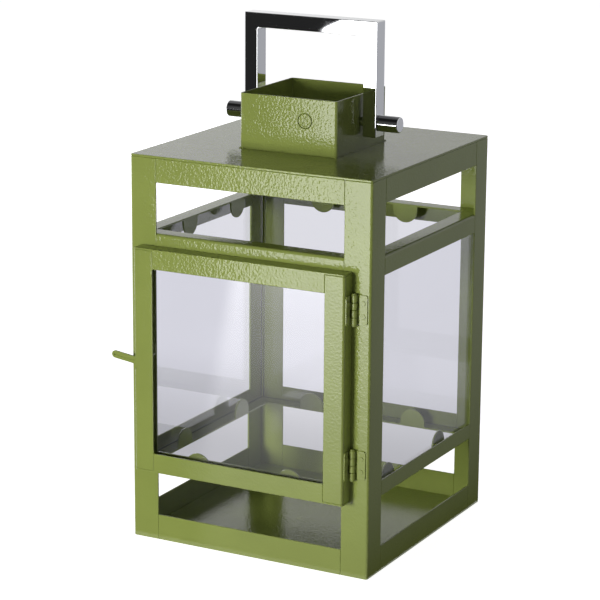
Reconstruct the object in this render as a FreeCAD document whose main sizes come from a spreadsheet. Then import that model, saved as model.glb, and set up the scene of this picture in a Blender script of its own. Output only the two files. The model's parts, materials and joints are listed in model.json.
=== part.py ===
"""Candle lantern: an enamelled sheet-steel frame with glass panes, a hinged glass door with a
turning latch, a chimney collar on the roof plate and a chrome carrying bail on two pivot pins.

Frame of reference, millimetres: the origin is the centre of the base, +Z is up, the door faces -Y
and its hinges are on the +X side."""
import FreeCAD, Part
import math
import os
import re
import Sketcher

Vector = FreeCAD.Vector

# Every independent size, in millimetres unless it is an angle in degrees.
SIZES = [
    # body frame
    ("body_width", 170.0, "outside width of the frame, along X"),
    ("body_depth", 170.0, "outside depth of the frame, along Y"),
    ("body_height", 253.0, "base to the top of the roof plate"),
    ("frame_sheet", 1.2, "sheet of posts and rails"),
    ("bend_radius", 1.8, "outside radius of every folded corner of the frame"),
    ("post_face", 18.7, "face of a corner post"),
    ("roof_sheet", 1.5, "roof plate"),
    ("floor_sheet", 1.0, "floor plate"),
    ("top_rail_face", 15.5, "rail below the roof plate"),
    ("bottom_rail_face", 16.9, "rail round the floor"),
    ("upper_rail_drop", 49.6, "roof to the top of the upper glass rail"),
    ("upper_rail_face", 12.3, "upper glass rail"),
    ("lower_rail_level", 49.1, "base to the underside of the lower glass rail"),
    ("lower_rail_face", 10.9, "lower glass rail"),
    ("flange_reach", 12.0, "outer face of a glass rail to the inner edge of its flange"),
    ("corner_relief", 3.0, "notch where two flanges meet behind a post"),
    # glass and its tabs
    ("glass_sheet", 2.0, "pane thickness"),
    ("glass_clearance", 0.2, "pane to the metal round it"),
    ("tab_width", 18.0, "glass tab, round at its end"),
    ("tab_length", 12.6, "outer face of the flange to the tip of a frame tab"),
    ("upper_tab_offset", 31.0, "middle of a rail to the middle of a tab, upper rails"),
    ("lower_tab_offset", 38.0, "the same on the lower rails"),
    # door
    ("door_inset_left", 8.2, "side of the body to the latch edge of the door"),
    ("door_inset_right", 12.5, "side of the body to the hinge edge of the door"),
    ("door_drop", 7.6, "top of the upper glass rail to the top of the door"),
    ("door_projection", 10.7, "front of the body to the front of the door"),
    ("door_gap", 0.3, "front of the body to the back of the door"),
    ("stile_face", 13.7, "door stile"),
    ("door_top_face", 12.9, "top rail of the door"),
    ("door_bottom_face", 12.7, "bottom rail of the door"),
    ("door_tab_length", 14.9, "outer face of the flange to the tip of a door tab"),
    ("door_tab_offset", 33.0, "middle of the door to the middle of a tab"),
    ("door_glass_lap", 2.9, "how far the door pane reaches behind a stile"),
    # hinges
    ("leaf_height", 18.5, "hinge leaf"),
    ("leaf_sheet", 0.8, "hinge leaf"),
    ("frame_leaf_width", 8.2, "hinge axis to the outer edge of the leaf on the post"),
    ("door_leaf_width", 7.2, "hinge axis to the front edge of the leaf on the door"),
    ("leaf_corner", 1.6, "rounded corners of a leaf"),
    ("knuckle_radius", 2.05, "outside of a knuckle"),
    ("knuckle_gap", 0.3, "between two knuckles"),
    ("hinge_clearance", 0.3, "knuckle to the face that it turns past"),
    ("hinge_pin_radius", 1.0, "hinge pin"),
    ("hinge_pin_clearance", 0.06, "hinge pin in a turning knuckle, radial"),
    ("pin_head_radius", 1.6, "peened head of the hinge pin"),
    ("pin_head_height", 0.9, "peened head of the hinge pin"),
    ("pin_head_gap", 0.1, "turning knuckle to the head below it"),
    ("hinge_inset_top", 22.9, "top of the door to the middle of the upper hinge"),
    ("hinge_inset_bottom", 25.1, "bottom of the door to the middle of the lower hinge"),
    ("rivet_radius", 1.0, "hinge rivet"),
    ("rivet_head_radius", 1.6, "hinge rivet head"),
    ("rivet_head_height", 0.35, "hinge rivet head"),
    ("rivet_spacing", 8.4, "between the two rivets of a leaf"),
    # latch
    ("latch_drop", 2.5, "middle of the door down to the latch pivot"),
    ("latch_inset", 3.8, "latch edge of the door to the latch pivot"),
    ("latch_standoff", 2.8, "inside of the stile to the front of the lever"),
    ("latch_sheet", 1.4, "lever"),
    ("latch_half_height", 2.4, "half the height of the lever"),
    ("latch_reach", 20.8, "pivot to the centre of the rounded tip"),
    ("latch_arm", 7.0, "pivot to the end of the inner arm"),
    ("latch_tilt", 7.5, "upward tilt of the tongue, degrees"),
    ("latch_pin_radius", 1.1, "latch pivot"),
    ("latch_collar_radius", 1.8, "collar and head of the latch pivot"),
    ("latch_head_height", 0.8, "head of the latch pivot"),
    ("latch_clearance", 0.2, "lever to the collar and the head beside it"),
    ("latch_pin_clearance", 0.06, "latch pivot in the lever, radial"),
    ("latch_slot_up", 3.3, "pivot level to the top of the slot in the stile"),
    ("latch_slot_down", 3.6, "pivot level to the bottom of the slot in the stile"),
    ("latch_slot_face", 1.8, "how far the slot cuts into the front of the stile"),
    ("latch_slot_margin", 1.0, "how far the cutter of the slot stands clear of the stile"),
    ("latch_groove_start", 6.2, "pivot to the start of the pressed line along the tongue"),
    ("latch_groove_width", 0.7, "pressed line along the tongue"),
    ("latch_groove_depth", 0.35, "pressed line along the tongue"),
    ("catch_sheet", 1.0, "catch on the post"),
    ("catch_width", 3.2, "catch on the post"),
    ("catch_glass_gap", 0.7, "catch to the edge of the door pane"),
    ("catch_lip_gap", 0.4, "top of the resting arm to the lip of the catch"),
    ("catch_room", 2.5, "top of the resting arm to the underside of the catch"),
    ("catch_foot", 7.0, "height of the welded foot of the catch"),
    # chimney
    ("chimney_width", 69.0, "outside of the square chimney collar"),
    ("chimney_height", 35.5, "above the roof plate"),
    ("chimney_sheet", 1.0, "chimney collar"),
    ("chimney_bend", 2.0, "outside radius of the corners of the collar"),
    ("badge_radius", 5.0, "pressed ring on the front of the collar"),
    ("badge_line", 0.5, "width of the pressed ring"),
    ("badge_depth", 0.3, "depth of the pressed ring"),
    ("badge_offset", 12.0, "middle of the collar to the middle of the ring"),
    ("badge_level", 21.3, "roof plate to the middle of the ring"),
    ("flame_radius", 1.7, "round part of the pressed flame"),
    ("flame_drop", 1.75, "middle of the ring down to the middle of the round part"),
    ("flame_height", 4.75, "middle of the round part to the tip of the flame"),
    ("flame_lean", 0.35, "how far the tip leans to the right"),
    ("flame_shoulder", 1.5, "half the width of the flame where it leaves its round part"),
    ("flame_shoulder_rise", 0.7, "middle of the round part to that level"),
    # carrying bail and its pivots
    ("bail_gap", 3.35, "side of the chimney to the leg of the bail"),
    ("bail_bar", 9.5, "bar of the bail, across its face"),
    ("bail_bar_depth", 11.4, "bar of the bail, front to back"),
    ("bail_top", 82.5, "roof plate to the top of the bail"),
    ("bail_foot", 9.2, "roof plate to the foot of the legs"),
    ("bail_edge", 0.5, "rounding of the outer edges of the bail"),
    ("bail_inner_corner", 1.5, "inner corners of the bail"),
    ("pivot_level", 18.0, "roof plate to the axis of the pivots"),
    ("journal_radius", 3.0, "part of a pivot pin that the leg turns on"),
    ("journal_clearance", 0.08, "journal in the leg, radial"),
    ("knob_radius", 5.25, "outer part of a pivot pin"),
    ("knob_length", 14.0, "outer part of a pivot pin"),
    ("knob_gap", 0.3, "leg of the bail to the knob"),
    ("knob_chamfer", 0.5, "end of the knob"),
    ("tail_radius", 2.0, "threaded tail of a pivot pin"),
    ("tail_end", 1.0, "how far the tail stands out of its nut"),
    ("nut_width", 7.0, "nut inside the chimney, across its flats"),
    ("nut_height", 3.2, "nut inside the chimney"),
]

doc = FreeCAD.newDocument("CandleLantern")
sheet = doc.addObject("Spreadsheet::Sheet", "Sizes")
for row, (alias, value, meaning) in enumerate(SIZES, start=1):
    sheet.set("A%d" % row, meaning)
    sheet.set("B%d" % row, str(value))
    sheet.setAlias("B%d" % row, alias)
doc.recompute()

ALIASES = {alias for alias, value, meaning in SIZES}
NODES = []


def bound(text):
    """An expression in which each named size points at its cell of the sheet."""
    def point(word):
        return "Sizes." + word.group() if word.group() in ALIASES else word.group()

    return re.sub(r"[a-z_]+", point, text)


def number(text):
    return float(sheet.evalExpression(bound(text)))


def bind(item, **sizes):
    """Bind properties of an object; a dot in a property's path is written as two underscores."""
    for path, text in sizes.items():
        item.setExpression(path.replace("__", "."), bound(text))


def node(item, name):
    """Name a finished sub-part."""
    item.Label = name
    NODES.append(item)
    return item


# ---- sketched bodies -------------------------------------------------------------------------

def new_body(name):
    return doc.addObject("PartDesign::Body", name + "_body")


def new_sketch(body, plane, level):
    """A sketch on an origin plane of the body, moved out to a level along that plane's axis."""
    origin_plane = next(f for f in body.Origin.OriginFeatures if f.Role == plane + "_Plane")
    sketch = body.newObject("Sketcher::SketchObject", body.Name + "_sketch")
    sketch.AttachmentSupport = [(origin_plane, "")]
    sketch.MapMode = "FlatFace"
    away = "-(%s)" % level if plane == "XZ" else level
    bind(sketch, AttachmentOffset__Base__z=away)
    return sketch


def tie_point(sketch, geometry, point, across, along):
    for kind, text in (("DistanceX", across), ("DistanceY", along)):
        if text is not None:
            tie = sketch.addConstraint(Sketcher.Constraint(kind, -1, 1, geometry, point, number(text)))
            sketch.setExpression("Constraints[%d]" % tie, bound(text))


def add_outline(sketch, corners):
    """A closed outline of straight lines whose corners are bound to the sheet."""
    start = sketch.GeometryCount
    points = [Vector(number(across), number(along), 0) for across, along in corners]
    for here, there in zip(points, points[1:] + points[:1]):
        sketch.addGeometry(Part.LineSegment(here, there), False)
    for step, (across, along) in enumerate(corners):
        following = start + (step + 1) % len(corners)
        sketch.addConstraint(Sketcher.Constraint("Coincident", start + step, 2, following, 1))
        tie_point(sketch, start + step, 1, across, along)


def add_tongue(sketch, centre, half, root, middle):
    """A strip from its root to a half circle whose centre is at the level `middle`."""
    left, right = "%s - %s" % (centre, half), "%s + %s" % (centre, half)
    upward = number(middle) > number(root)
    corners = [Vector(number(left), number(root), 0), Vector(number(right), number(root), 0),
               Vector(number(right), number(middle), 0), Vector(number(left), number(middle), 0)]
    base = sketch.addGeometry(Part.LineSegment(corners[0], corners[1]), False)
    right_side = sketch.addGeometry(Part.LineSegment(corners[1], corners[2]), False)
    left_side = sketch.addGeometry(Part.LineSegment(corners[3], corners[0]), False)
    round_end = Part.Circle(Vector(number(centre), number(middle), 0), Vector(0, 0, 1), number(half))
    angles = (0, math.pi) if upward else (math.pi, 2 * math.pi)
    arc = sketch.addGeometry(Part.ArcOfCircle(round_end, *angles), False)
    right_end, left_end = (1, 2) if upward else (2, 1)
    for here, here_end, there, there_end in ((base, 2, right_side, 1), (left_side, 2, base, 1),
                                             (right_side, 2, arc, right_end),
                                             (left_side, 1, arc, left_end)):
        sketch.addConstraint(Sketcher.Constraint("Coincident", here, here_end, there, there_end))
    tie_point(sketch, base, 1, left, root)
    tie_point(sketch, base, 2, right, root)
    tie_point(sketch, right_side, 2, right, middle)
    tie_point(sketch, left_side, 1, left, middle)
    tie_point(sketch, arc, 3, None, middle)


def add_circle(sketch, centre, radius):
    across, along = centre
    middle = Vector(number(across), number(along), 0)
    ring = sketch.addGeometry(Part.Circle(middle, Vector(0, 0, 1), number(radius)), False)
    tie_point(sketch, ring, 3, across, along)
    tie = sketch.addConstraint(Sketcher.Constraint("Radius", ring, number(radius)))
    sketch.setExpression("Constraints[%d]" % tie, bound(radius))


def pad(body, sketch, thickness):
    """Material from the sketch along its normal: +Z for XY, -Y for XZ, +X for YZ."""
    feature = body.newObject("PartDesign::Pad", body.Name + "_pad")
    feature.Profile = sketch
    bind(feature, Length=thickness)
    doc.recompute()
    return feature


def pocket(body, sketch, depth):
    """A cut from the sketch against its normal, which has to take material away."""
    before = body.Shape.Volume
    feature = body.newObject("PartDesign::Pocket", body.Name + "_pocket")
    feature.Profile = sketch
    bind(feature, Length=depth)
    doc.recompute()
    if body.Shape.Volume >= before:
        raise RuntimeError(feature.Name + " cuts nothing")
    return feature


def plate(body, plane, level, corners, thickness):
    sketch = new_sketch(body, plane, level)
    add_outline(sketch, corners)
    return pad(body, sketch, thickness)


def disc(body, plane, level, centre, radius, thickness):
    sketch = new_sketch(body, plane, level)
    add_circle(sketch, centre, radius)
    return pad(body, sketch, thickness)


def window(body, plane, level, corners, depth):
    sketch = new_sketch(body, plane, level)
    add_outline(sketch, corners)
    return pocket(body, sketch, depth)


def bore(body, plane, level, centre, radius, depth):
    sketch = new_sketch(body, plane, level)
    add_circle(sketch, centre, radius)
    return pocket(body, sketch, depth)


def rectangle(left, right, low, high):
    return [(left, low), (right, low), (right, high), (left, high)]


def edges_along(shape, direction, near):
    """Names of the straight edges along a direction whose middle is where `near` says."""
    found = []
    for index, edge in enumerate(shape.Edges, start=1):
        if edge.Curve.TypeId != "Part::GeomLine":
            continue
        if abs(abs(edge.Curve.Direction.dot(direction)) - 1) > 1e-6:
            continue
        if near(edge.CenterOfMass):
            found.append("Edge%d" % index)
    return found


def soften(body, direction, near, radius):
    """Round the chosen straight edges of a body."""
    base = body.Tip
    chosen = edges_along(base.Shape, direction, near)
    if not chosen:
        raise RuntimeError(body.Name + " has no such edge to round")
    feature = body.newObject("PartDesign::Fillet", body.Name + "_fillet")
    feature.Base = (base, chosen)
    bind(feature, Radius=radius)
    doc.recompute()
    return feature


def close(value, text):
    return abs(value - number(text)) < 1e-4


def turn_about_z(body, quarter_turns):
    body.Placement = FreeCAD.Placement(Vector(), FreeCAD.Rotation(Vector(0, 0, 1), 90 * quarter_turns))


ALONG_X = Vector(1, 0, 0)
ALONG_Y = Vector(0, 1, 0)
ALONG_Z = Vector(0, 0, 1)


# ---- turned and plain solids -----------------------------------------------------------------

def cylinder(name, axis, centre, radius, low, high):
    """A round bar along an axis; centre gives its other two coordinates in X, Y, Z order."""
    item = doc.addObject("Part::Cylinder", name)
    bind(item, Radius=radius, Height="(%s) - (%s)" % (high, low))
    rotation = {"x": (ALONG_Y, 90), "y": (ALONG_X, -90), "z": (ALONG_Z, 0)}[axis]
    item.Placement = FreeCAD.Placement(Vector(), FreeCAD.Rotation(*rotation))
    place = dict(zip("xyz".replace(axis, ""), centre))
    place[axis] = low
    bind(item, **{"Placement__Base__" + letter: text for letter, text in place.items()})
    return item


def block(name, across, along, up):
    """A rectangular block between pairs of X, Y and Z levels."""
    item = doc.addObject("Part::Box", name)
    for size, letter, (low, high) in zip(("Length", "Width", "Height"), "xyz", (across, along, up)):
        bind(item, **{size: "(%s) - (%s)" % (high, low), "Placement__Base__" + letter: low})
    return item


def fuse(name, items):
    joined = doc.addObject("Part::MultiFuse", name)
    joined.Shapes = items
    joined.Refine = True
    return joined


def group(name, items):
    together = doc.addObject("Part::Compound", name)
    together.Links = items
    return together


def cut(name, base, tools):
    result = doc.addObject("Part::Cut", name)
    result.Base = base
    result.Tool = tools[0] if len(tools) == 1 else group(name + "_tools", tools)
    return result


# ---- places that several sub-parts share -----------------------------------------------------

FRONT = "-body_depth / 2"
DOOR_LEFT = "(door_inset_left - body_width / 2)"
DOOR_RIGHT = "(body_width / 2 - door_inset_right)"
DOOR_MIDDLE = "((door_inset_left - door_inset_right) / 2)"
DOOR_BOTTOM = "lower_rail_level"
UPPER_RAIL_TOP = "(body_height - upper_rail_drop)"
DOOR_TOP = "(body_height - upper_rail_drop - door_drop)"
DOOR_FRONT = "(-body_depth / 2 - door_projection)"
DOOR_BACK = "(-body_depth / 2 - door_gap)"
STILE_INSIDE = "(-body_depth / 2 - door_projection + frame_sheet)"
HINGE_X = "(body_width / 2 - door_inset_right + hinge_clearance + knuckle_radius)"
HINGE_Y = "(-body_depth / 2 - hinge_clearance - knuckle_radius)"
HINGE_LEVELS = {
    "upper": "(body_height - upper_rail_drop - door_drop - hinge_inset_top)",
    "lower": "(lower_rail_level + hinge_inset_bottom)",
}
KNUCKLE = "((leaf_height - 3 * knuckle_gap) / 4)"
KNUCKLE_PITCH = "((leaf_height - 3 * knuckle_gap) / 4 + knuckle_gap)"
LEAF_START = "(knuckle_radius + hinge_clearance)"
LATCH_X = "(door_inset_left - body_width / 2 + latch_inset)"
LATCH_Z = "((lower_rail_level + body_height - upper_rail_drop - door_drop) / 2 - latch_drop)"
LEVER_FRONT = "(-body_depth / 2 - door_projection + frame_sheet + latch_standoff)"
LEVER_BACK = "(-body_depth / 2 - door_projection + frame_sheet + latch_standoff + latch_sheet)"
PIVOT_Z = "(body_height + pivot_level)"
LEG_INSIDE = "(chimney_width / 2 + bail_gap)"
LEG_OUTSIDE = "(chimney_width / 2 + bail_gap + bail_bar)"
RIVET_SIDES = ("- rivet_spacing / 2", "+ rivet_spacing / 2")
FRAME_RIVET_X = HINGE_X + " + (" + LEAF_START + " + frame_leaf_width) / 2"
DOOR_RIVET_Y = HINGE_Y + " - (" + LEAF_START + " + door_leaf_width) / 2"

# A side of the lantern is built as the front one and turned: its quarter turns, its span, and how
# far its outer face stands from the middle.
SIDES = {
    "front": (0, "body_width", "body_depth / 2"),
    "right": (1, "body_depth", "body_width / 2"),
    "rear": (2, "body_width", "body_depth / 2"),
    "left": (3, "body_depth", "body_width / 2"),
}


# ---- body frame ------------------------------------------------------------------------------

def corner_post(name, quarter_turns, beside, ahead, rivet_levels=()):
    """A full-height angle whose outer corner is at (-beside, -ahead) before it is turned."""
    body = new_body(name)
    corner_x = "-" + beside
    corner_y = "-" + ahead
    outline = [
        (corner_x, corner_y),
        (corner_x + " + post_face", corner_y),
        (corner_x + " + post_face", corner_y + " + frame_sheet"),
        (corner_x + " + frame_sheet", corner_y + " + frame_sheet"),
        (corner_x + " + frame_sheet", corner_y + " + post_face"),
        (corner_x, corner_y + " + post_face"),
    ]
    plate(body, "XY", "0", outline, "body_height - roof_sheet")
    soften(body, ALONG_Z, lambda at: close(at.x, corner_x) and close(at.y, corner_y), "bend_radius")
    soften(body, ALONG_Z, lambda at: close(at.x, corner_x + " + frame_sheet")
           and close(at.y, corner_y + " + frame_sheet"), "bend_radius - frame_sheet")
    turn_about_z(body, quarter_turns)
    if not rivet_levels:
        return node(body, name)
    holes = [cylinder(name + "_hole", "y", (FRAME_RIVET_X, level), "rivet_radius",
                      FRONT + " - frame_sheet", FRONT + " + 2 * frame_sheet")
             for level in rivet_levels]
    body.Label = name + "_blank"
    return node(cut(name + "_drilled", body, holes), name)


def plain_rail(name, side, level, face):
    """A flat strip between two posts."""
    quarter_turns, span, reach = SIDES[side]
    body = new_body(name)
    half = "(%s / 2 - post_face)" % span
    plate(body, "XZ", "-%s + frame_sheet" % reach,
          rectangle("-" + half, half, level, "%s + %s" % (level, face)), "frame_sheet")
    turn_about_z(body, quarter_turns)
    return node(body, name)


def tabs(body, centres, back, root, tip, up):
    """Round-ended glass tabs that stand behind the pane, from the flange to their tip."""
    middle = "%s %s tab_width / 2" % (tip, "-" if up else "+")
    for centre in centres:
        sketch = new_sketch(body, "XZ", back)
        add_tongue(sketch, centre, "tab_width / 2", root, middle)
        pad(body, sketch, "frame_sheet")


def glass_rail(name, side, level, face, flange_on_top, tab_offset=None):
    """A rail with an inward flange, mitred into its neighbours, and two tabs where it holds glass."""
    quarter_turns, span, reach = SIDES[side]
    body = new_body(name)
    half = "(%s / 2 - post_face)" % span
    face_back = "-%s + frame_sheet" % reach
    flange_level = "%s + %s - frame_sheet" % (level, face) if flange_on_top else level
    plate(body, "XZ", face_back, rectangle("-" + half, half, level, "%s + %s" % (level, face)),
          "frame_sheet")
    relief = "(%s / 2 - corner_relief)" % span
    mitre = "(%s / 2 - flange_reach)" % span
    flange = [
        ("-" + relief, face_back), ("-" + half, face_back), ("-" + half, "-" + reach),
        (half, "-" + reach), (half, face_back), (relief, face_back),
        (relief, "-%s + corner_relief" % reach), (mitre, "-%s + flange_reach" % reach),
        ("-" + mitre, "-%s + flange_reach" % reach), ("-" + relief, "-%s + corner_relief" % reach),
    ]
    plate(body, "XY", flange_level, flange, "frame_sheet")
    if tab_offset:
        root = "%s + %s" % (level, face) if flange_on_top else level
        tip = "%s - tab_length" % root if flange_on_top else "%s + tab_length" % root
        tabs(body, ("-" + tab_offset, tab_offset), "-%s + flange_reach" % reach, root, tip,
             not flange_on_top)
    edge_level = "%s + %s" % (level, face) if flange_on_top else level
    soften(body, ALONG_X, lambda at: close(at.z, edge_level) and close(at.y, "-" + reach),
           "bend_radius")
    turn_about_z(body, quarter_turns)
    return node(body, name)


def roof_plate():
    body = new_body("roof_plate")
    width = ("-body_width / 2", "body_width / 2")
    depth = ("-body_depth / 2", "body_depth / 2")
    plate(body, "XY", "body_height - roof_sheet", rectangle(*width, *depth), "roof_sheet")
    soften(body, ALONG_Z, lambda at: True, "bend_radius")
    vent = "(chimney_width / 2 - chimney_sheet)"
    window(body, "XY", "body_height", rectangle("-" + vent, vent, "-" + vent, vent), "roof_sheet")
    return node(body, "roof_plate")


def floor_plate():
    half_width = "(body_width / 2 - frame_sheet)"
    half_depth = "(body_depth / 2 - frame_sheet)"
    body = new_body("floor_plate")
    outline = rectangle("-" + half_width, half_width, "-" + half_depth, half_depth)
    plate(body, "XY", "0", outline, "floor_sheet")
    soften(body, ALONG_Z, lambda at: True, "bend_radius")
    return node(body, "floor_plate")


def chimney():
    """The square collar over the vent, drilled for the two pivot pins and pressed with a ring."""
    body = new_body("chimney")
    outer = "chimney_width / 2"
    inner = "(chimney_width / 2 - chimney_sheet)"
    top = "body_height + chimney_height"
    plate(body, "XY", "body_height", rectangle("-" + outer, outer, "-" + outer, outer),
          "chimney_height")
    soften(body, ALONG_Z, lambda at: True, "chimney_bend")
    window(body, "XY", top, rectangle("-" + inner, inner, "-" + inner, inner), "chimney_height")
    soften(body, ALONG_Z, lambda at: close(abs(at.x), inner) and close(abs(at.y), inner),
           "chimney_bend - chimney_sheet")
    bore(body, "YZ", outer, ("0", PIVOT_Z), "tail_radius", "chimney_width")
    ring = new_sketch(body, "XZ", "-" + outer)
    for radius in ("badge_radius", "badge_radius - badge_line"):
        add_circle(ring, ("badge_offset", "body_height + badge_level"), radius)
    pocket(body, ring, "badge_depth")
    flame_middle = "body_height + badge_level - flame_drop"
    bore(body, "XZ", "-" + outer, ("badge_offset", flame_middle), "flame_radius", "badge_depth")
    flame = [
        ("badge_offset - flame_shoulder", flame_middle + " + flame_shoulder_rise"),
        ("badge_offset + flame_shoulder", flame_middle + " + flame_shoulder_rise"),
        ("badge_offset + flame_lean", flame_middle + " + flame_height"),
    ]
    window(body, "XZ", "-" + outer, flame, "badge_depth")
    return node(body, "chimney")


def side_pane(name, side):
    """A fixed pane against the inner faces of the rails and posts."""
    quarter_turns, span, reach = SIDES[side]
    half = "(%s / 2 - frame_sheet - corner_relief)" % span
    front = "-%s + frame_sheet + glass_clearance" % reach
    body = new_body(name)
    plate(body, "XZ", front + " + glass_sheet",
          rectangle("-" + half, half, "lower_rail_level + frame_sheet + glass_clearance",
                    UPPER_RAIL_TOP + " - frame_sheet - glass_clearance"), "glass_sheet")
    turn_about_z(body, quarter_turns)
    return node(body, name)


# ---- door ------------------------------------------------------------------------------------

def stile(name, outer, inward):
    """A door stile: a face and an outer side folded back to the body.

    outer is the X level of its side; inward is "+" on the latch side and "-" on the hinge side."""
    body = new_body(name)
    face_edge = "%s %s stile_face" % (outer, inward)
    side_inside = "%s %s frame_sheet" % (outer, inward)
    outline = [
        (outer, DOOR_FRONT), (face_edge, DOOR_FRONT), (face_edge, STILE_INSIDE),
        (side_inside, STILE_INSIDE), (side_inside, DOOR_BACK), (outer, DOOR_BACK),
    ]
    plate(body, "XY", DOOR_BOTTOM + " + frame_sheet", outline,
          DOOR_TOP + " - " + DOOR_BOTTOM + " - 2 * frame_sheet")
    soften(body, ALONG_Z, lambda at: close(at.x, outer) and close(at.y, DOOR_FRONT), "bend_radius")
    return body


def latch_stile():
    """The stile at the opening edge, slotted through its corner for the lever."""
    body = stile("door_stile_latch", DOOR_LEFT, "+")
    body.Label = "latch_stile_blank"
    slot = block("latch_slot",
                 (DOOR_LEFT + " - latch_slot_margin", DOOR_LEFT + " + latch_slot_face"),
                 (DOOR_FRONT + " - latch_slot_margin", LEVER_BACK + " + 2 * latch_clearance"),
                 (LATCH_Z + " - latch_slot_down", LATCH_Z + " + latch_slot_up"))
    return node(cut("latch_stile_slotted", body, [slot]), "door_stile_latch")


def hinge_stile():
    """The stile beside the hinges, drilled for the rivets of both leaves."""
    body = stile("door_stile_hinge", DOOR_RIGHT, "-")
    body.Label = "hinge_stile_blank"
    holes = [cylinder("stile_hole", "x", (DOOR_RIVET_Y, level + side), "rivet_radius",
                      DOOR_RIGHT + " - 2 * frame_sheet", DOOR_RIGHT + " + frame_sheet")
             for level in HINGE_LEVELS.values() for side in RIVET_SIDES]
    return node(cut("hinge_stile_drilled", body, holes), "door_stile_hinge")


def door_rail(name, level, face, flange_on_top):
    """A door rail: its face fits between the stiles and its flange closes their ends."""
    body = new_body(name)
    left = DOOR_LEFT + " + stile_face"
    right = DOOR_RIGHT + " - stile_face"
    flange_level = "%s + %s - frame_sheet" % (level, face) if flange_on_top else level
    plate(body, "XZ", STILE_INSIDE, rectangle(left, right, level, "%s + %s" % (level, face)),
          "frame_sheet")
    plate(body, "XY", flange_level, rectangle(DOOR_LEFT, DOOR_RIGHT, DOOR_FRONT, DOOR_BACK),
          "frame_sheet")
    root = "%s + %s" % (level, face) if flange_on_top else level
    tip = "%s - door_tab_length" % root if flange_on_top else "%s + door_tab_length" % root
    centres = (DOOR_MIDDLE + " - door_tab_offset", DOOR_MIDDLE + " + door_tab_offset")
    tabs(body, centres, DOOR_BACK, root, tip, not flange_on_top)
    soften(body, ALONG_Z, lambda at: close(at.y, DOOR_FRONT)
           and (close(at.x, DOOR_LEFT) or close(at.x, DOOR_RIGHT)), "bend_radius")
    return node(body, name)


def door_pane():
    body = new_body("door_glass")
    left = DOOR_LEFT + " + stile_face - door_glass_lap"
    right = DOOR_RIGHT + " - stile_face + door_glass_lap"
    low = DOOR_BOTTOM + " + frame_sheet + glass_clearance"
    high = DOOR_TOP + " - frame_sheet - glass_clearance"
    plate(body, "XZ", STILE_INSIDE + " + glass_clearance + glass_sheet",
          rectangle(left, right, low, high), "glass_sheet")
    return node(body, "door_glass")


# ---- hinges ----------------------------------------------------------------------------------

def knuckle_span(level, index):
    """Z levels of one of the four knuckles, counted from below."""
    low = "%s - leaf_height / 2 + %d * %s" % (level, index, KNUCKLE_PITCH)
    return low, low + " + " + KNUCKLE


def frame_leaf(name, level):
    """The hinge leaf on the post, with the first and third knuckles from the top."""
    body = new_body(name)
    outer = HINGE_X + " + frame_leaf_width"
    bottom, top = level + " - leaf_height / 2", level + " + leaf_height / 2"
    plate(body, "XZ", FRONT, rectangle(HINGE_X + " + " + LEAF_START, outer, bottom, top), "leaf_sheet")
    soften(body, ALONG_Y, lambda at: close(at.x, outer), "leaf_corner")
    for index in (1, 3):
        low, high = knuckle_span(level, index)
        plate(body, "XZ", FRONT, rectangle(HINGE_X, HINGE_X + " + " + LEAF_START, low, high),
              "leaf_sheet")
        disc(body, "XY", low, (HINGE_X, HINGE_Y), "knuckle_radius", KNUCKLE)
    bore(body, "XY", top, (HINGE_X, HINGE_Y), "hinge_pin_radius", "leaf_height")
    for side in RIVET_SIDES:
        bore(body, "XZ", FRONT + " - leaf_sheet", (FRAME_RIVET_X, level + side), "rivet_radius",
             "leaf_sheet")
    return node(body, name)


def door_leaf(name, level):
    """The hinge leaf on the side of the door, with the other two knuckles."""
    body = new_body(name)
    front = HINGE_Y + " - door_leaf_width"
    bottom, top = level + " - leaf_height / 2", level + " + leaf_height / 2"
    plate(body, "YZ", DOOR_RIGHT, rectangle(front, HINGE_Y + " - " + LEAF_START, bottom, top),
          "leaf_sheet")
    soften(body, ALONG_X, lambda at: close(at.y, front), "leaf_corner")
    for index in (0, 2):
        low, high = knuckle_span(level, index)
        plate(body, "YZ", DOOR_RIGHT, rectangle(HINGE_Y + " - " + LEAF_START, HINGE_Y, low, high),
              "leaf_sheet")
        disc(body, "XY", low, (HINGE_X, HINGE_Y), "knuckle_radius", KNUCKLE)
    bore(body, "XY", top, (HINGE_X, HINGE_Y), "hinge_pin_radius + hinge_pin_clearance", "leaf_height")
    for side in RIVET_SIDES:
        bore(body, "YZ", DOOR_RIGHT + " + leaf_sheet", (DOOR_RIVET_Y, level + side), "rivet_radius",
             "leaf_sheet")
    return node(body, name)


def hinge_pin(name, level):
    bottom, top = level + " - leaf_height / 2", level + " + leaf_height / 2"
    centre = (HINGE_X, HINGE_Y)
    low_face = bottom + " - pin_head_gap"
    shank = cylinder(name + "_shank", "z", centre, "hinge_pin_radius", low_face, top)
    low_head = cylinder(name + "_low_head", "z", centre, "pin_head_radius",
                        low_face + " - pin_head_height", low_face)
    high_head = cylinder(name + "_high_head", "z", centre, "pin_head_radius",
                         top, top + " + pin_head_height")
    return node(fuse(name + "_fused", [low_head, shank, high_head]), name)


def rivets(name, axis, outer, inner, centres):
    """Rivets along an axis: a low head outside, a shank, and a low head inside.

    outer and inner are the levels of the two clamped faces; the outer one may be the lower."""
    low, high = sorted((outer, inner), key=number)
    made = []
    for centre in centres:
        shank = cylinder(name + "_shank", axis, centre, "rivet_radius", low, high)
        first = cylinder(name + "_head", axis, centre, "rivet_head_radius",
                         low + " - rivet_head_height", low)
        second = cylinder(name + "_head", axis, centre, "rivet_head_radius",
                          high, high + " + rivet_head_height")
        made.append(fuse(name + "_fused", [first, shank, second]))
    return node(group(name + "_group", made), name)


# ---- latch -----------------------------------------------------------------------------------

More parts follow.
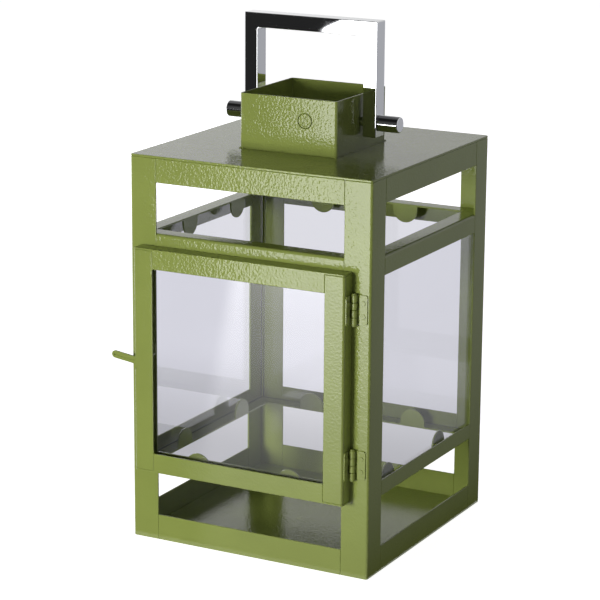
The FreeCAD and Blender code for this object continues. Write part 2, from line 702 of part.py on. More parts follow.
def latch_lever():
    """A flat lever: a tongue that stands out of the door, tilted up, and a short inner arm."""
    body = new_body("latch_lever")
    run, rise = "cos(latch_tilt * 1deg)", "sin(latch_tilt * 1deg)"
    tip = ("%s - latch_reach * %s" % (LATCH_X, run), "%s + latch_reach * %s" % (LATCH_Z, rise))
    side_x, side_z = "latch_half_height * " + rise, "latch_half_height * " + run
    tongue = [
        ("%s - %s" % (LATCH_X, side_x), "%s - %s" % (LATCH_Z, side_z)),
        ("%s + %s" % (LATCH_X, side_x), "%s + %s" % (LATCH_Z, side_z)),
        ("%s + %s" % (tip[0], side_x), "%s + %s" % (tip[1], side_z)),
        ("%s - %s" % (tip[0], side_x), "%s - %s" % (tip[1], side_z)),
    ]
    arm = rectangle(LATCH_X, LATCH_X + " + latch_arm", LATCH_Z + " - latch_half_height",
                    LATCH_Z + " + latch_half_height")
    disc(body, "XZ", LEVER_BACK, (LATCH_X, LATCH_Z), "latch_half_height", "latch_sheet")
    plate(body, "XZ", LEVER_BACK, tongue, "latch_sheet")
    disc(body, "XZ", LEVER_BACK, tip, "latch_half_height", "latch_sheet")
    plate(body, "XZ", LEVER_BACK, arm, "latch_sheet")
    bore(body, "XZ", LEVER_FRONT, (LATCH_X, LATCH_Z), "latch_pin_radius + latch_pin_clearance",
         "latch_sheet")
    line_x, line_z = "latch_groove_width / 2 * " + rise, "latch_groove_width / 2 * " + run
    start = ("%s - latch_groove_start * %s" % (LATCH_X, run),
             "%s + latch_groove_start * %s" % (LATCH_Z, rise))
    groove = [
        ("%s - %s" % (start[0], line_x), "%s - %s" % (start[1], line_z)),
        ("%s + %s" % (start[0], line_x), "%s + %s" % (start[1], line_z)),
        ("%s + %s" % (tip[0], line_x), "%s + %s" % (tip[1], line_z)),
        ("%s - %s" % (tip[0], line_x), "%s - %s" % (tip[1], line_z)),
    ]
    window(body, "XZ", LEVER_FRONT, groove, "latch_groove_depth")
    bore(body, "XZ", LEVER_FRONT, tip, "latch_groove_width", "2 * latch_groove_depth")
    return node(body, "latch_lever")


def latch_pivot():
    """A stepped pin inside the stile: a collar in front of the lever and a head behind it."""
    centre = (LATCH_X, LATCH_Z)
    collar_end = LEVER_FRONT + " - latch_clearance"
    head_start = LEVER_BACK + " + latch_clearance"
    collar = cylinder("latch_collar", "y", centre, "latch_collar_radius", STILE_INSIDE, collar_end)
    pin = cylinder("latch_pin", "y", centre, "latch_pin_radius", collar_end, head_start)
    head = cylinder("latch_head", "y", centre, "latch_collar_radius", head_start,
                    head_start + " + latch_head_height")
    return node(fuse("latch_pivot_fused", [collar, pin, head]), "latch_pivot")


def latch_catch():
    """A folded strip on the post whose lip the inner arm of the lever rises behind."""
    right = DOOR_LEFT + " + stile_face - door_glass_lap - catch_glass_gap"
    across = (right + " - catch_width", right)
    underside = LATCH_Z + " + latch_half_height + catch_room"
    topside = underside + " + catch_sheet"
    lip_back = LEVER_FRONT + " - hinge_clearance"
    lip_front = lip_back + " - catch_sheet"
    foot = block("catch_foot_plate", across, (FRONT + " - catch_sheet", FRONT),
                 (underside, underside + " + catch_foot"))
    shelf = block("catch_shelf", across, (lip_front, FRONT), (underside, topside))
    lip = block("catch_lip", across, (lip_front, lip_back),
                (LATCH_Z + " + latch_half_height + catch_lip_gap", topside))
    return node(fuse("latch_catch_fused", [foot, shelf, lip]), "latch_catch")


# ---- carrying bail ---------------------------------------------------------------------------

def bail():
    """A square bar bent into three sides, drilled for the journals of the pivot pins."""
    body = new_body("handle_bail")
    top = "body_height + bail_top"
    foot = "body_height + bail_foot"
    under = top + " - bail_bar"
    outline = [
        ("-" + LEG_OUTSIDE, foot), ("-" + LEG_INSIDE, foot), ("-" + LEG_INSIDE, under),
        (LEG_INSIDE, under), (LEG_INSIDE, foot), (LEG_OUTSIDE, foot),
        (LEG_OUTSIDE, top), ("-" + LEG_OUTSIDE, top),
    ]
    plate(body, "XZ", "bail_bar_depth / 2", outline, "bail_bar_depth")
    soften(body, ALONG_Y, lambda at: close(abs(at.x), LEG_INSIDE) and close(at.z, under),
           "bail_inner_corner")
    soften(body, ALONG_Y, lambda at: close(abs(at.x), LEG_OUTSIDE), "bail_edge")
    bore(body, "YZ", LEG_OUTSIDE, ("0", PIVOT_Z), "journal_radius + journal_clearance",
         "2 * " + LEG_OUTSIDE)
    return node(body, "handle_bail")


def pivot_pin(name, side):
    """A turned pin: a knob outside the leg, a journal, and a tail through the chimney wall.

    side is "" for +X and "-" for -X."""
    wall = "chimney_width / 2"
    knob_start = LEG_OUTSIDE + " + knob_gap"
    knob_end = knob_start + " + knob_length"
    tail_start = "(%s - chimney_sheet - nut_height - tail_end)" % wall
    centre = ("0", PIVOT_Z)

    def turned(part_name, radius, near, far):
        ends = (near, far) if side == "" else ("-(%s)" % far, "-(%s)" % near)
        return cylinder(name + part_name, "x", centre, radius, *ends)

    knob = turned("_knob", "knob_radius", knob_start, knob_end)
    doc.recompute()
    outer_face = number(side + "(" + knob_end + ")")
    rounded = doc.addObject("Part::Chamfer", name + "_knob_chamfer")
    rounded.Base = knob
    rim = [index for index, edge in enumerate(knob.Shape.Edges, start=1)
           if abs(edge.CenterOfMass.x - outer_face) < 1e-4]
    rounded.Edges = [(index, number("knob_chamfer"), number("knob_chamfer")) for index in rim]
    journal = turned("_journal", "journal_radius", wall, knob_start)
    tail = turned("_tail", "tail_radius", tail_start, wall)
    return node(fuse(name + "_fused", [tail, journal, rounded]), name)


def pivot_nuts():
    """The two hexagon nuts inside the chimney."""
    made = []
    inside = "(chimney_width / 2 - chimney_sheet)"
    for name, low in (("right", inside + " - nut_height"), ("left", "-" + inside)):
        hexagon = doc.addObject("Part::Prism", "nut_blank_" + name)
        hexagon.Polygon = 6
        bind(hexagon, Circumradius="nut_width / sqrt(3)", Height="nut_height")
        hexagon.Placement = FreeCAD.Placement(Vector(), FreeCAD.Rotation(ALONG_Y, 90))
        bind(hexagon, Placement__Base__x=low, Placement__Base__z=PIVOT_Z)
        thread = cylinder("nut_bore_" + name, "x", ("0", PIVOT_Z), "tail_radius",
                          low, low + " + nut_height")
        made.append(cut("nut_" + name, hexagon, [thread]))
    return node(group("pivot_nut_pair", made), "pivot_nuts")


# ---- assembly --------------------------------------------------------------------------------

HALF_WIDTH, HALF_DEPTH = "body_width / 2", "body_depth / 2"
RIVET_LEVELS = [level + side for level in HINGE_LEVELS.values() for side in RIVET_SIDES]

corner_post("corner_post_front_left", 0, HALF_WIDTH, HALF_DEPTH)
corner_post("corner_post_front_right", 1, HALF_DEPTH, HALF_WIDTH, RIVET_LEVELS)
corner_post("corner_post_rear_right", 2, HALF_WIDTH, HALF_DEPTH)
corner_post("corner_post_rear_left", 3, HALF_DEPTH, HALF_WIDTH)
for side in SIDES:
    plain_rail("top_rail_" + side, side, "(body_height - roof_sheet - top_rail_face)", "top_rail_face")
    plain_rail("bottom_rail_" + side, side, "0", "bottom_rail_face")
    holds_glass = side != "front"
    glass_rail("upper_glass_rail_" + side, side, "(body_height - upper_rail_drop - upper_rail_face)",
               "upper_rail_face", True, "upper_tab_offset" if holds_glass else None)
    glass_rail("lower_glass_rail_" + side, side, "lower_rail_level", "lower_rail_face", False,
               "lower_tab_offset" if holds_glass else None)
    if holds_glass:
        side_pane("glass_pane_" + side, side)
roof_plate()
floor_plate()
chimney()

latch_stile()
hinge_stile()
door_rail("door_rail_top", "(" + DOOR_TOP + " - door_top_face)", "door_top_face", True)
door_rail("door_rail_bottom", DOOR_BOTTOM, "door_bottom_face", False)
door_pane()

for place, level in HINGE_LEVELS.items():
    frame_leaf("hinge_leaf_frame_" + place, level)
    door_leaf("hinge_leaf_door_" + place, level)
    hinge_pin("hinge_pin_" + place, level)
rivets("hinge_rivets_frame", "y", FRONT + " - leaf_sheet", FRONT + " + frame_sheet",
       [(FRAME_RIVET_X, level) for level in RIVET_LEVELS])
rivets("hinge_rivets_door", "x", DOOR_RIGHT + " + leaf_sheet", DOOR_RIGHT + " - frame_sheet",
       [(DOOR_RIVET_Y, level) for level in RIVET_LEVELS])

latch_lever()
latch_pivot()
latch_catch()

bail()
pivot_pin("pivot_pin_right", "")
pivot_pin("pivot_pin_left", "-")
pivot_nuts()

doc.recompute()
for item in doc.Objects:
    if "Invalid" in item.State or "Error" in item.State:
        raise RuntimeError("%s did not rebuild: %s" % (item.Label, item.State))
os.makedirs("parts", exist_ok=True)
for item in NODES:
    if item.Shape.isNull() or not item.Shape.isValid() or item.Shape.Volume <= 0:
        raise RuntimeError(item.Label + " has no sound shape")
for item in NODES:
    item.Shape.exportStep("parts/" + item.Label + ".step")
print(len(NODES), "sub-parts written")
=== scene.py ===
"""Candle lantern: green enamelled sheet steel, float glass and a chrome bail, finished for display.

Metres. The lantern stands on z = 0 with its door towards -Y and its hinges on the +X side."""
import json
import math

import bpy
from mathutils import Matrix, Vector

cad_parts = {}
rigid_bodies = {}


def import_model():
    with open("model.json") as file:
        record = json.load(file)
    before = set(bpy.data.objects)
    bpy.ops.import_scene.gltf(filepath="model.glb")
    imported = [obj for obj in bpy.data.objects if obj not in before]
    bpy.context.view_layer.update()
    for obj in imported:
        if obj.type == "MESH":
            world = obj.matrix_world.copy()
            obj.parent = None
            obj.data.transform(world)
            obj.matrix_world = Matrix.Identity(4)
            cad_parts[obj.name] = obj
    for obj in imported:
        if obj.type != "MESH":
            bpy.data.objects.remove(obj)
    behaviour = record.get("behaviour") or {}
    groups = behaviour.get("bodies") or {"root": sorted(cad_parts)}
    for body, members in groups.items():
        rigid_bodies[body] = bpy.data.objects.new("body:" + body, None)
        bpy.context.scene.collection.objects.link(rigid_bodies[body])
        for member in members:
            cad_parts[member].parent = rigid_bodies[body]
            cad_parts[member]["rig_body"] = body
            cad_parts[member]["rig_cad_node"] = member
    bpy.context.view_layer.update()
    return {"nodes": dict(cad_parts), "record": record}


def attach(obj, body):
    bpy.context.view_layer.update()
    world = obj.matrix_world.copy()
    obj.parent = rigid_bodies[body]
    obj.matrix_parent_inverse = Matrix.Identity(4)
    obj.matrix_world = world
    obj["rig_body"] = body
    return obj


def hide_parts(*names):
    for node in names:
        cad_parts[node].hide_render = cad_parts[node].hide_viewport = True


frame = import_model()

MM = 0.001
BODY_OF = {node: body for body, nodes in frame["record"]["behaviour"]["bodies"].items() for node in nodes}

# Edge rounding left by the paint or by the polishing wheel, for each kind of piece.
FRAME_EDGE = 0.42 * MM
THIN_SHEET_EDGE = 0.3 * MM
HINGE_EDGE = 0.16 * MM
GLASS_EDGE = 0.3 * MM
BAIL_EDGE = 0.5 * MM
PIN_EDGE = 0.3 * MM

# The painted weld round the foot of the chimney: its height and width, how far it reaches into the
# chimney's wall, and the share of it that is rounded off.
BEAD = 0.5 * MM
BEAD_TUCK = 0.1 * MM
BEAD_ROUNDING = 0.8
BEAD_STEPS = 3

# Edges sharper than the first angle are rounded, faces flatter than the second are joined, and
# points closer than the distance are made one.
SHARP_ANGLE = math.radians(35)
FLAT_ANGLE = math.radians(0.5)
SAME_POINT = 0.002 * MM

# Colours, as linear red, green and blue.
GREEN = (0.275, 0.330, 0.080)
GREEN_SHADE = 0.93
CHROME_TONE = (0.80, 0.81, 0.83, 1.0)
ZINC_TONE = (0.62, 0.62, 0.63, 1.0)
GLASS_CAST = (0.955, 0.955, 0.985, 1.0)
GLASS_SHADOW = (0.85, 0.85, 0.875, 1.0)
SWEEP_TONE = (0.9, 0.9, 0.91, 1.0)
WHITE = (1.0, 1.0, 1.0, 1.0)

# Grain of each finish, in cells to the metre.
PEEL_GRAIN = 640.0
PEEL_WAVES = 95.0
SHADE_GRAIN = 28.0
ENAMEL_WEAR_GRAIN = 60.0
CHROME_WAVES = 55.0
CHROME_LINES = 900.0
CHROME_HAZE_GRAIN = 35.0
ZINC_GRAIN = 1400.0
GLASS_SMUDGE_GRAIN = 22.0
SWEEP_GRAIN = 60.0

# How the coarser and finer grains are mixed, how far lines are drawn out along Z, and how high the
# result stands.
PEEL_WAVE_SHARE = 0.45
CHROME_LINE_SHARE = 0.05
CHROME_LINE_STRETCH = (1.0, 1.0, 0.06)
PEEL_HEIGHT = 0.14 * MM
CHROME_HEIGHT = 0.010 * MM
ZINC_HEIGHT = 0.004 * MM

# The part of a noise that carries a change from its start to its end.
MOST_OF_IT = (0.3, 0.7)
HAZE_PATCHES = (0.35, 0.75)
SMUDGE_PATCHES = (0.45, 0.8)
ALL_OF_IT = (0.0, 1.0)

# Roughness of each finish, from its smoothest to its roughest.
ENAMEL_ROUGHNESS = (0.05, 0.09)
CHROME_ROUGHNESS = (0.01, 0.035)
ZINC_ROUGHNESS = (0.24, 0.4)
GLASS_ROUGHNESS = (0.0, 0.008)
SWEEP_ROUGHNESS = (0.65, 0.75)

# How strongly clear things bend light, and how brightly the white sweep shines by itself.
ENAMEL_IOR = 1.5
GLASS_IOR = 1.46
SWEEP_LIGHT = 0.94


# ---- shader arithmetic -----------------------------------------------------------------------

class Value:
    """A shader socket that carries a number; arithmetic on it adds Math nodes."""

    def __init__(self, recipe, socket):
        self.recipe = recipe
        self.socket = socket

    def worked(self, operation, first, second):
        return self.recipe.add("ShaderNodeMath", {"operation": operation}, {0: first, 1: second})

    def __add__(self, other):
        return self.worked("ADD", self, other)

    __radd__ = __add__

    def __mul__(self, other):
        return self.worked("MULTIPLY", self, other)

    __rmul__ = __mul__

    def __sub__(self, other):
        return self.worked("SUBTRACT", self, other)

    def __rsub__(self, other):
        return self.worked("SUBTRACT", other, self)

    def __truediv__(self, other):
        return self.worked("DIVIDE", self, other)


class Recipe:
    """A node tree that is filled one node at a time."""

    def __init__(self, owner):
        owner.use_nodes = True
        self.owner = owner
        self.tree = owner.node_tree
        self.tree.nodes.clear()

    def add(self, kind, settings=None, inputs=None, output=0):
        """A node with its settings made first and then its sockets filled with values or links."""
        node = self.tree.nodes.new(kind)
        for name, value in (settings or {}).items():
            setattr(node, name, value)
        for name, value in (inputs or {}).items():
            if isinstance(value, Value):
                self.tree.links.new(value.socket, node.inputs[name])
            else:
                node.inputs[name].default_value = value
        return Value(self, node.outputs[output])

    def place(self):
        return self.add("ShaderNodeTexCoord", output="Object")

    def noise(self, scale, detail=2.0, roughness=0.5, vector=None):
        where = vector if vector is not None else self.place()
        return self.add("ShaderNodeTexNoise", {},
                        {"Vector": where, "Scale": scale, "Detail": detail, "Roughness": roughness})

    def stretched(self, factors):
        return self.add("ShaderNodeMapping", {}, {"Vector": self.place(), "Scale": factors})

    def span(self, value, low, high, to_low=0.0, to_high=1.0):
        """The value carried smoothly from low..high to to_low..to_high."""
        return self.add("ShaderNodeMapRange", {"interpolation_type": "SMOOTHSTEP"},
                        {"Value": value, "From Min": low, "From Max": high,
                         "To Min": to_low, "To Max": to_high})

    def tint(self, share, plain, mixed):
        return self.add("ShaderNodeMix", {"data_type": "RGBA"},
                        {"Factor": share, "A": (*plain, 1.0), "B": (*mixed, 1.0)}, output="Result")

    def bump(self, height, distance):
        return self.add("ShaderNodeBump", {}, {"Height": height, "Distance": distance}, output="Normal")

    def split(self, place):
        """The X, Y and Z of a place, each as a value."""
        parts = self.tree.nodes.new("ShaderNodeSeparateXYZ")
        self.tree.links.new(place.socket, parts.inputs[0])
        return [Value(self, parts.outputs[axis]) for axis in "XYZ"]

    def rays(self, *kinds):
        """How far the ray at hand is of each kind named."""
        path = self.tree.nodes.new("ShaderNodeLightPath")
        return [Value(self, path.outputs["Is %s Ray" % kind]) for kind in kinds]

    def glow(self, strength, colour=WHITE):
        return self.add("ShaderNodeEmission", {}, {"Color": colour, "Strength": strength})

    def finish(self, surface, kind="ShaderNodeOutputMaterial"):
        node = self.tree.nodes.new(kind)
        self.tree.links.new(surface.socket, node.inputs["Surface"])
        return self.owner


def new_recipe(name):
    return Recipe(bpy.data.materials.new(name))


# ---- finishes --------------------------------------------------------------------------------

def green_enamel():
    """Gloss enamel, sprayed a little thick: orange peel over slow waves."""
    mix = new_recipe("green_enamel")
    peel = mix.noise(PEEL_GRAIN, detail=1.0)
    waves = mix.noise(PEEL_WAVES, detail=1.0)
    surface = mix.bump(peel + waves * PEEL_WAVE_SHARE, PEEL_HEIGHT)
    depth = mix.span(mix.noise(SHADE_GRAIN, detail=3.0), *MOST_OF_IT)
    colour = mix.tint(depth, GREEN, tuple(channel * GREEN_SHADE for channel in GREEN))
    wear = mix.noise(ENAMEL_WEAR_GRAIN, detail=4.0)
    roughness = mix.span(wear, *MOST_OF_IT, *ENAMEL_ROUGHNESS)
    paint = mix.add("ShaderNodeBsdfPrincipled", {},
                    {"Base Color": colour, "Roughness": roughness, "Normal": surface,
                     "IOR": ENAMEL_IOR}, "BSDF")
    return mix.finish(paint)


def chrome():
    """Bright chrome plate on a wheel-polished bar: slow waves and faint polishing lines."""
    mix = new_recipe("chrome")
    waves = mix.noise(CHROME_WAVES, detail=1.0)
    lines = mix.noise(CHROME_LINES, detail=2.0, vector=mix.stretched(CHROME_LINE_STRETCH))
    surface = mix.bump(waves + lines * CHROME_LINE_SHARE, CHROME_HEIGHT)
    haze = mix.span(mix.noise(CHROME_HAZE_GRAIN, detail=4.0), *HAZE_PATCHES, *CHROME_ROUGHNESS)
    plate = mix.add("ShaderNodeBsdfPrincipled", {},
                    {"Base Color": CHROME_TONE, "Metallic": 1.0, "Roughness": haze,
                     "Normal": surface}, "BSDF")
    return mix.finish(plate)


def zinc():
    """Bright zinc plate on the nuts."""
    mix = new_recipe("zinc_plate")
    grain = mix.noise(ZINC_GRAIN, detail=3.0)
    roughness = mix.span(grain, *MOST_OF_IT, *ZINC_ROUGHNESS)
    plate = mix.add("ShaderNodeBsdfPrincipled", {},
                    {"Base Color": ZINC_TONE, "Metallic": 1.0, "Roughness": roughness,
                     "Normal": mix.bump(grain, ZINC_HEIGHT)}, "BSDF")
    return mix.finish(plate)


def clear_glass():
    """Float glass with a faint lavender cast; lamps shine straight through it."""
    mix = new_recipe("clear_glass")
    smudge = mix.span(mix.noise(GLASS_SMUDGE_GRAIN, detail=5.0), *SMUDGE_PATCHES, *GLASS_ROUGHNESS)
    glass = mix.add("ShaderNodeBsdfPrincipled", {},
                    {"Base Color": GLASS_CAST, "Roughness": smudge, "IOR": GLASS_IOR,
                     "Transmission Weight": 1.0}, "BSDF")
    straight = mix.add("ShaderNodeBsdfTransparent", {}, {"Color": GLASS_SHADOW})
    shadow_ray, diffuse_ray = mix.rays("Shadow", "Diffuse")
    soft_ray = mix.add("ShaderNodeMath", {"operation": "MAXIMUM"}, {0: shadow_ray, 1: diffuse_ray})
    both = mix.add("ShaderNodeMixShader", {}, {0: soft_ray, 1: glass, 2: straight})
    return mix.finish(both)


FINISHES = {"enamel": green_enamel(), "chrome": chrome(), "clear_glass": clear_glass(),
            "zinc_steel": zinc()}


# ---- finished copies of the made pieces ------------------------------------------------------

def only(piece):
    bpy.ops.object.select_all(action="DESELECT")
    piece.select_set(True)
    bpy.context.view_layer.objects.active = piece


def apply_modifier(piece, kind, **settings):
    only(piece)
    modifier = piece.modifiers.new(kind.title(), kind)
    for name, value in settings.items():
        setattr(modifier, name, value)
    bpy.ops.object.modifier_apply(modifier=modifier.name)


def merged_copy(node):
    """A copy of a made piece with its triangles joined into one skin."""
    piece = frame["nodes"][node].copy()
    piece.data = piece.data.copy()
    piece.name = node + "_finished"
    piece.parent = None
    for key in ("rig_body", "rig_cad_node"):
        del piece[key]
    bpy.context.scene.collection.objects.link(piece)
    only(piece)
    bpy.ops.object.mode_set(mode="EDIT")
    bpy.ops.mesh.select_all(action="SELECT")
    bpy.ops.mesh.remove_doubles(threshold=SAME_POINT)
    bpy.ops.mesh.dissolve_limited(angle_limit=FLAT_ANGLE)
    bpy.ops.object.mode_set(mode="OBJECT")
    bpy.ops.mesh.customdata_custom_splitnormals_clear()
    return piece


def soft_edges(piece, width, segments=2):
    only(piece)
    bpy.ops.object.shade_smooth()
    apply_modifier(piece, "BEVEL", width=width, segments=segments, limit_method="ANGLE",
                   angle_limit=SHARP_ANGLE, use_clamp_overlap=False, loop_slide=False, harden_normals=True)
    apply_modifier(piece, "TRIANGULATE", min_vertices=5, keep_custom_normals=True)


def dress(piece, material, body):
    piece.data.materials.clear()
    piece.data.materials.append(material)
    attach(piece, body)


def edge_for(node, slot):
    if slot == "clear_glass":
        return GLASS_EDGE
    if slot == "chrome":
        return BAIL_EDGE if node == "handle_bail" else PIN_EDGE
    if node == "chimney" or "glass_rail" in node:
        return THIN_SHEET_EDGE
    small = ("hinge_", "latch_", "pivot_nuts")
    return HINGE_EDGE if node.startswith(small) else FRAME_EDGE


for part in frame["record"]["subparts"]:
    node, slot = part["node"], part["material_slot"]
    piece = merged_copy(node)
    soft_edges(piece, edge_for(node, slot))
    dress(piece, FINISHES[slot], BODY_OF[node])
    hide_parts(node)


def roof_level():
    roof = frame["nodes"]["roof_plate"]
    return max((roof.matrix_world @ Vector(corner)).z for corner in roof.bound_box)


def chimney_bead():
    """The painted weld round the foot of the chimney: a low frame with its upper edges rounded."""
    walls = frame["nodes"]["chimney"]
    corners = [walls.matrix_world @ Vector(corner) for corner in walls.bound_box]
    half = max(corner.x for corner in corners)
    foot = roof_level()
    bpy.ops.object.select_all(action="DESELECT")
    bpy.ops.mesh.primitive_plane_add(size=2 * (half + BEAD), location=(0, 0, 0))
    bead = bpy.context.object
    bead.name = "chimney_bead"
    bpy.ops.object.mode_set(mode="EDIT")
    bpy.ops.mesh.select_all(action="SELECT")
    bpy.ops.mesh.inset(thickness=BEAD + BEAD_TUCK)
    bpy.ops.mesh.delete(type="FACE")
    bpy.ops.mesh.select_all(action="SELECT")
    bpy.ops.mesh.extrude_region_move(TRANSFORM_OT_translate={"value": (0, 0, BEAD)})
    bpy.ops.mesh.select_all(action="SELECT")
    bpy.ops.transform.translate(value=(0, 0, foot))
    bpy.ops.mesh.normals_make_consistent(inside=False)
    bpy.ops.object.mode_set(mode="OBJECT")
    soft_edges(bead, BEAD * BEAD_ROUNDING, segments=BEAD_STEPS)
    dress(bead, FINISHES["enamel"], "lantern_body")


chimney_bead()


# ---- studio ----------------------------------------------------------------------------------

# The floor reaches this far each way, and the cards lie just above it.
FLOOR_REACH = 8
CARD_LEVEL = 0.0005

# Outlines of the cards on the floor, as X and Y.
WHOLE_FLOOR = [(-FLOOR_REACH, -FLOOR_REACH), (FLOOR_REACH, -FLOOR_REACH),
               (FLOOR_REACH, FLOOR_REACH), (-FLOOR_REACH, FLOOR_REACH)]
FRONT_CARD = [(-5, -6), (2, -6), (2, -0.09), (-0.5, -0.09)]
RIGHT_CARD = [(0.086, -0.088), (5, -0.088), (5, 6), (0.086, 6)]

# The panel in front: the distances over which it brightens and its light at each, where its edges
# fade and how the slanted ones lean, and the light left in the dark past them.
PANEL_REACH, PANEL_LIGHT = (0.04, 0.95), (0.3, 6.5)
LEFT_EDGE, LEFT_EDGE_LEAN = (0.0, 0.02), 0.52
FAR_EDGE, FAR_EDGE_LEAN = (-0.675, -0.66), 0.19
RIGHT_EDGE = (0.12, 0.18)
ROOM_LIGHT = 0.02

# The floor to the right starts at the lantern's side and reaches half its light this far out.
LANTERN_SIDE = 0.084
HALF_LIGHT = 0.1
RIGHT_LIGHT = 0.52
COOL_WHITE = (0.94, 0.95, 1.0, 1.0)

# The floor as the glass shows it: distances behind the lantern where its shadow gathers and where
# it clears, and what each does to the light.
LAVENDER_WHITE = (1.0, 1.0, 1.045, 1.0)
SHADOW_GATHERS, GATHERED_LIGHT = (-1.5, 0.09), (1.0, 0.5)
SHADOW_CLEARS, CLEARED_LIGHT = (0.09, 0.34), (0.0, 0.26)

# The sky: the part of each direction over which it changes, and its light at each end.
SKY_HEIGHT, SKY_HEIGHT_LIGHT = (0.3, 0.75), (1.0, 0.16)
SKY_SIDE, SKY_SIDE_LIGHT = (-0.55, -0.38), (1.0, 0.72)
SKY_BACK, SKY_BACK_LIGHT = (-0.25, 0.15), (0.08, 1.0)
MATT_HEIGHT, MATT_LIGHT = (-0.1, 0.1), (0.26, 0.07)

# The white that the camera itself sees behind everything.
BACKDROP_LIGHT = 1.2

# Name, place, size and power of each lamp; all of them point at the middle of the lantern.
LAMP_AIM = (0, 0, 0.12)
LAMPS = [("key", (-0.36, -1.62, 0.28), (0.32, 0.4), 19.8),
         ("rim", (-1.2, 0.9, 0.35), (0.9, 0.9), 9.0),
         ("fill", (1.3, -0.6, 0.5), (0.8, 0.8), 0.4)]

# The camera: its turns in degrees, and its place in widths of the lantern's body.
BODY_WIDTH = 0.170
AZIMUTH, ELEVATION, ROLL = 28.08, 14.52, 0.41
CAMERA_PLACE = (4.1705, -7.9144, 3.1977)
SENSOR_WIDTH = 36.0
FOCAL_LENGTH = 144.7


def flat_card(name, outline, level, material):
    """A level studio card."""
    mesh = bpy.data.meshes.new(name)
    mesh.from_pydata([Vector((x, y, level)) for x, y in outline], [], [tuple(range(len(outline)))])
    card = bpy.data.objects.new(name, mesh)
    bpy.context.scene.collection.objects.link(card)
    card.data.materials.append(material)
    return card


def seen_in_gloss_only(card):
    card.visible_camera = False
    card.visible_diffuse = False
    card.visible_transmission = False
    card.visible_volume_scatter = False
    card.visible_shadow = False


def floor_paint():
    """Matt white sweep, lit mostly from underneath like a light table."""
    mix = new_recipe("white_sweep")
    roughness = mix.span(mix.noise(SWEEP_GRAIN, detail=3.0), *ALL_OF_IT, *SWEEP_ROUGHNESS)
    matt = mix.add("ShaderNodeBsdfPrincipled", {},
                   {"Base Color": SWEEP_TONE, "Roughness": roughness, "Specular IOR Level": 0.0,
                    "Emission Color": WHITE, "Emission Strength": SWEEP_LIGHT}, "BSDF")
    return mix.finish(matt)


def floor_axes(mix):
    """Distances in front of the lantern and to its right, on the floor."""
    x, y, _ = mix.split(mix.place())
    return y * -1.0, x


def front_glow():
    """The studio in front of the lantern, as its front mirrors it: a soft panel that brightens
    with distance and ends at a straight left edge, past which the room is dark."""
    mix = new_recipe("front_glow")
    ahead, across = floor_axes(mix)
    panel = mix.span(ahead, *PANEL_REACH, *PANEL_LIGHT)
    left_edge = mix.span(across + ahead * LEFT_EDGE_LEAN, *LEFT_EDGE)
    far_edge = mix.span(across + ahead * FAR_EDGE_LEAN, *FAR_EDGE)
    right_edge = mix.span(across, *RIGHT_EDGE, to_low=1.0, to_high=0.0)
    return mix.finish(mix.glow(panel * left_edge * far_edge * right_edge + ROOM_LIGHT))


def right_glow():
    """The floor to the right, in the lantern's own shadow: dim close by and grey further out."""
    mix = new_recipe("right_glow")
    _, across = floor_axes(mix)
    off = across - LANTERN_SIDE
    return mix.finish(mix.glow(off / (off + HALF_LIGHT) * RIGHT_LIGHT, COOL_WHITE))


def floor_behind():
    """The floor as the glass shows it: darkest in the soft shadow just behind the lantern, with the
    glass's lavender cast."""
    mix = new_recipe("floor_behind")
    ahead, _ = floor_axes(mix)
    behind = ahead * -1.0
    gathering = mix.span(behind, *SHADOW_GATHERS, *GATHERED_LIGHT)
    clearing = mix.span(behind, *SHADOW_CLEARS, *CLEARED_LIGHT)
    return mix.finish(mix.glow(gathering + clearing, LAVENDER_WHITE))


def studio():
    floor = flat_card("floor", WHOLE_FLOOR, 0, floor_paint())
    floor.visible_diffuse = False
    floor.visible_shadow = False
    seen_in_gloss_only(flat_card("front_panel", FRONT_CARD, CARD_LEVEL, front_glow()))
    seen_in_gloss_only(flat_card("right_panel", RIGHT_CARD, CARD_LEVEL, right_glow()))
    behind = flat_card("floor_seen_in_glass", WHOLE_FLOOR, CARD_LEVEL, floor_behind())
    seen_in_gloss_only(behind)
    behind.visible_glossy = False
    behind.visible_transmission = True


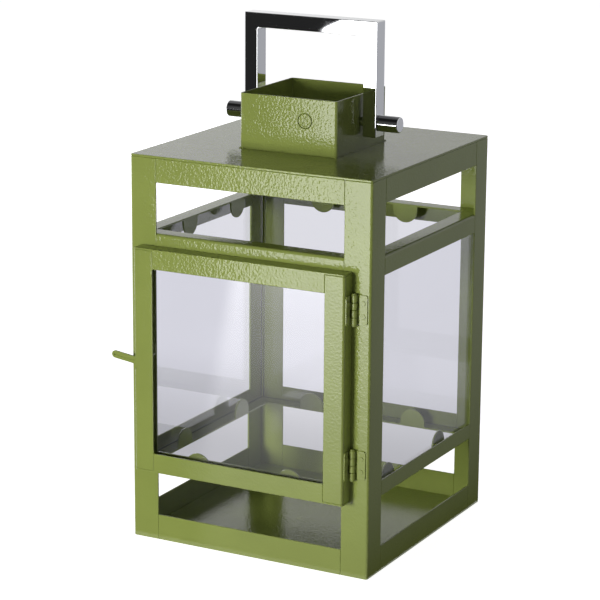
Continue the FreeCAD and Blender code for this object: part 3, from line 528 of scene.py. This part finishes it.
def lamp(name, place, size, power):
    data = bpy.data.lights.new(name, "AREA")
    data.shape = "RECTANGLE"
    data.size, data.size_y = size
    data.energy = power
    item = bpy.data.objects.new(name, data)
    bpy.context.scene.collection.objects.link(item)
    item.location = place
    item.rotation_mode = "QUATERNION"
    item.rotation_quaternion = (Vector(LAMP_AIM) - Vector(place)).to_track_quat("-Z", "Y")
    item.visible_glossy = False


def sky():
    """Bright round the horizon and dim overhead; matt surfaces get a quieter version of it."""
    world = bpy.data.worlds.new("studio")
    bpy.context.scene.world = world
    mix = Recipe(world)
    sideways, backwards, height = mix.split(mix.add("ShaderNodeTexCoord", output="Generated"))
    gloss_sky = mix.span(height, *SKY_HEIGHT, *SKY_HEIGHT_LIGHT)
    gloss_sky = gloss_sky * mix.span(sideways, *SKY_SIDE, *SKY_SIDE_LIGHT)
    gloss_sky = gloss_sky * mix.span(backwards, *SKY_BACK, *SKY_BACK_LIGHT)
    matt_sky = mix.span(height, *MATT_HEIGHT, *MATT_LIGHT)
    matt, seen = mix.rays("Diffuse", "Camera")
    strength = gloss_sky + matt * (matt_sky - gloss_sky) + seen * (BACKDROP_LIGHT - gloss_sky)
    glow_all = mix.add("ShaderNodeBackground", {}, {"Color": WHITE, "Strength": strength})
    mix.finish(glow_all, "ShaderNodeOutputWorld")


def camera():
    """The viewpoint, held as turns about the lantern and a place in body widths."""
    azimuth, elevation, roll = (math.radians(angle) for angle in (AZIMUTH, ELEVATION, ROLL))
    back = Vector((math.sin(azimuth) * math.cos(elevation), -math.cos(azimuth) * math.cos(elevation),
                   math.sin(elevation)))
    level = Vector((math.cos(azimuth), math.sin(azimuth), 0))
    up = back.cross(level)
    right = math.cos(roll) * level + math.sin(roll) * up
    true_up = -math.sin(roll) * level + math.cos(roll) * up
    data = bpy.data.cameras.new("camera")
    data.sensor_width = SENSOR_WIDTH
    data.lens = FOCAL_LENGTH
    item = bpy.data.objects.new("camera", data)
    bpy.context.scene.collection.objects.link(item)
    turn = Matrix((right, true_up, back)).transposed().to_4x4()
    item.matrix_world = Matrix.Translation(Vector(CAMERA_PLACE) * BODY_WIDTH) @ turn
    bpy.context.scene.camera = item


studio()
sky()
for name, place, size, power in LAMPS:
    lamp(name, place, size, power)
camera()
bpy.context.scene.view_settings.view_transform = "Standard"
